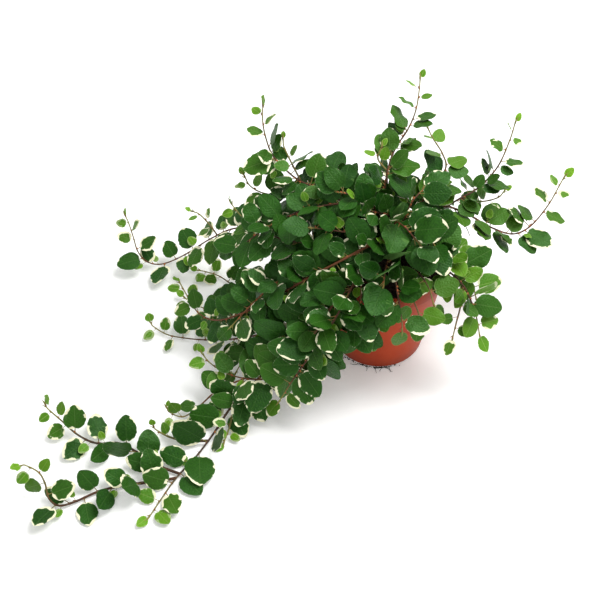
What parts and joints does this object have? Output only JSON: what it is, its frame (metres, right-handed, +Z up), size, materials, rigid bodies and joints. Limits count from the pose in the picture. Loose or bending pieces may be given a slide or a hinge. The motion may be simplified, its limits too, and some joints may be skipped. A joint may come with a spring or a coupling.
{
  "type": "potted creeping fig",
  "caption": "Creeping fig with small cream-edged leaves in a tapered pot: a mound over the rim, upright shoots, and stems that trail to one side.",
  "frame": {"origin": "centre of the flat underside of the pot", "axes": "+Z up along the pot's axis, -Y towards the front, -X towards the side that the long stems trail to"},
  "size_m": [0.4933, 0.3288, 0.2376],
  "materials": {
    "pot": "satin terracotta-red moulded plastic",
    "soil": "dark crumbly potting soil",
    "leaf": "satin dark green leaf with an uneven cream edge"
  },
  "bodies": {
    "root": {"pot": "pot", "soil": "soil", "trail_front_left": "leaf", "trail_left_front": "leaf", "trail_left": "leaf", "trail_left_low": "leaf", "trail_left_back": "leaf", "trail_back_left": "leaf", "shoot_left": "leaf", "shoot_left_back": "leaf", "shoot_tall_left": "leaf", "shoot_tall_back": "leaf", "shoot_right_back": "leaf", "shoot_right": "leaf", "spray_right_front": "leaf", "spray_front_right": "leaf", "spray_front": "leaf", "trail_front_low": "leaf", "spray_left_low": "leaf", "spray_left": "leaf", "spray_left_top": "leaf", "spray_front_left": "leaf", "spray_front_middle": "leaf", "spray_front_low": "leaf", "spray_right_low": "leaf", "spray_top_middle": "leaf", "spray_top_back": "leaf", "spray_top_front": "leaf", "spray_top_right": "leaf", "spray_top": "leaf", "spray_top_left": "leaf", "spray_back": "leaf", "spray_back_left": "leaf", "spray_back_left_low": "leaf", "spray_back_right": "leaf", "spray_right": "leaf"}
  },
  "joints": []
}
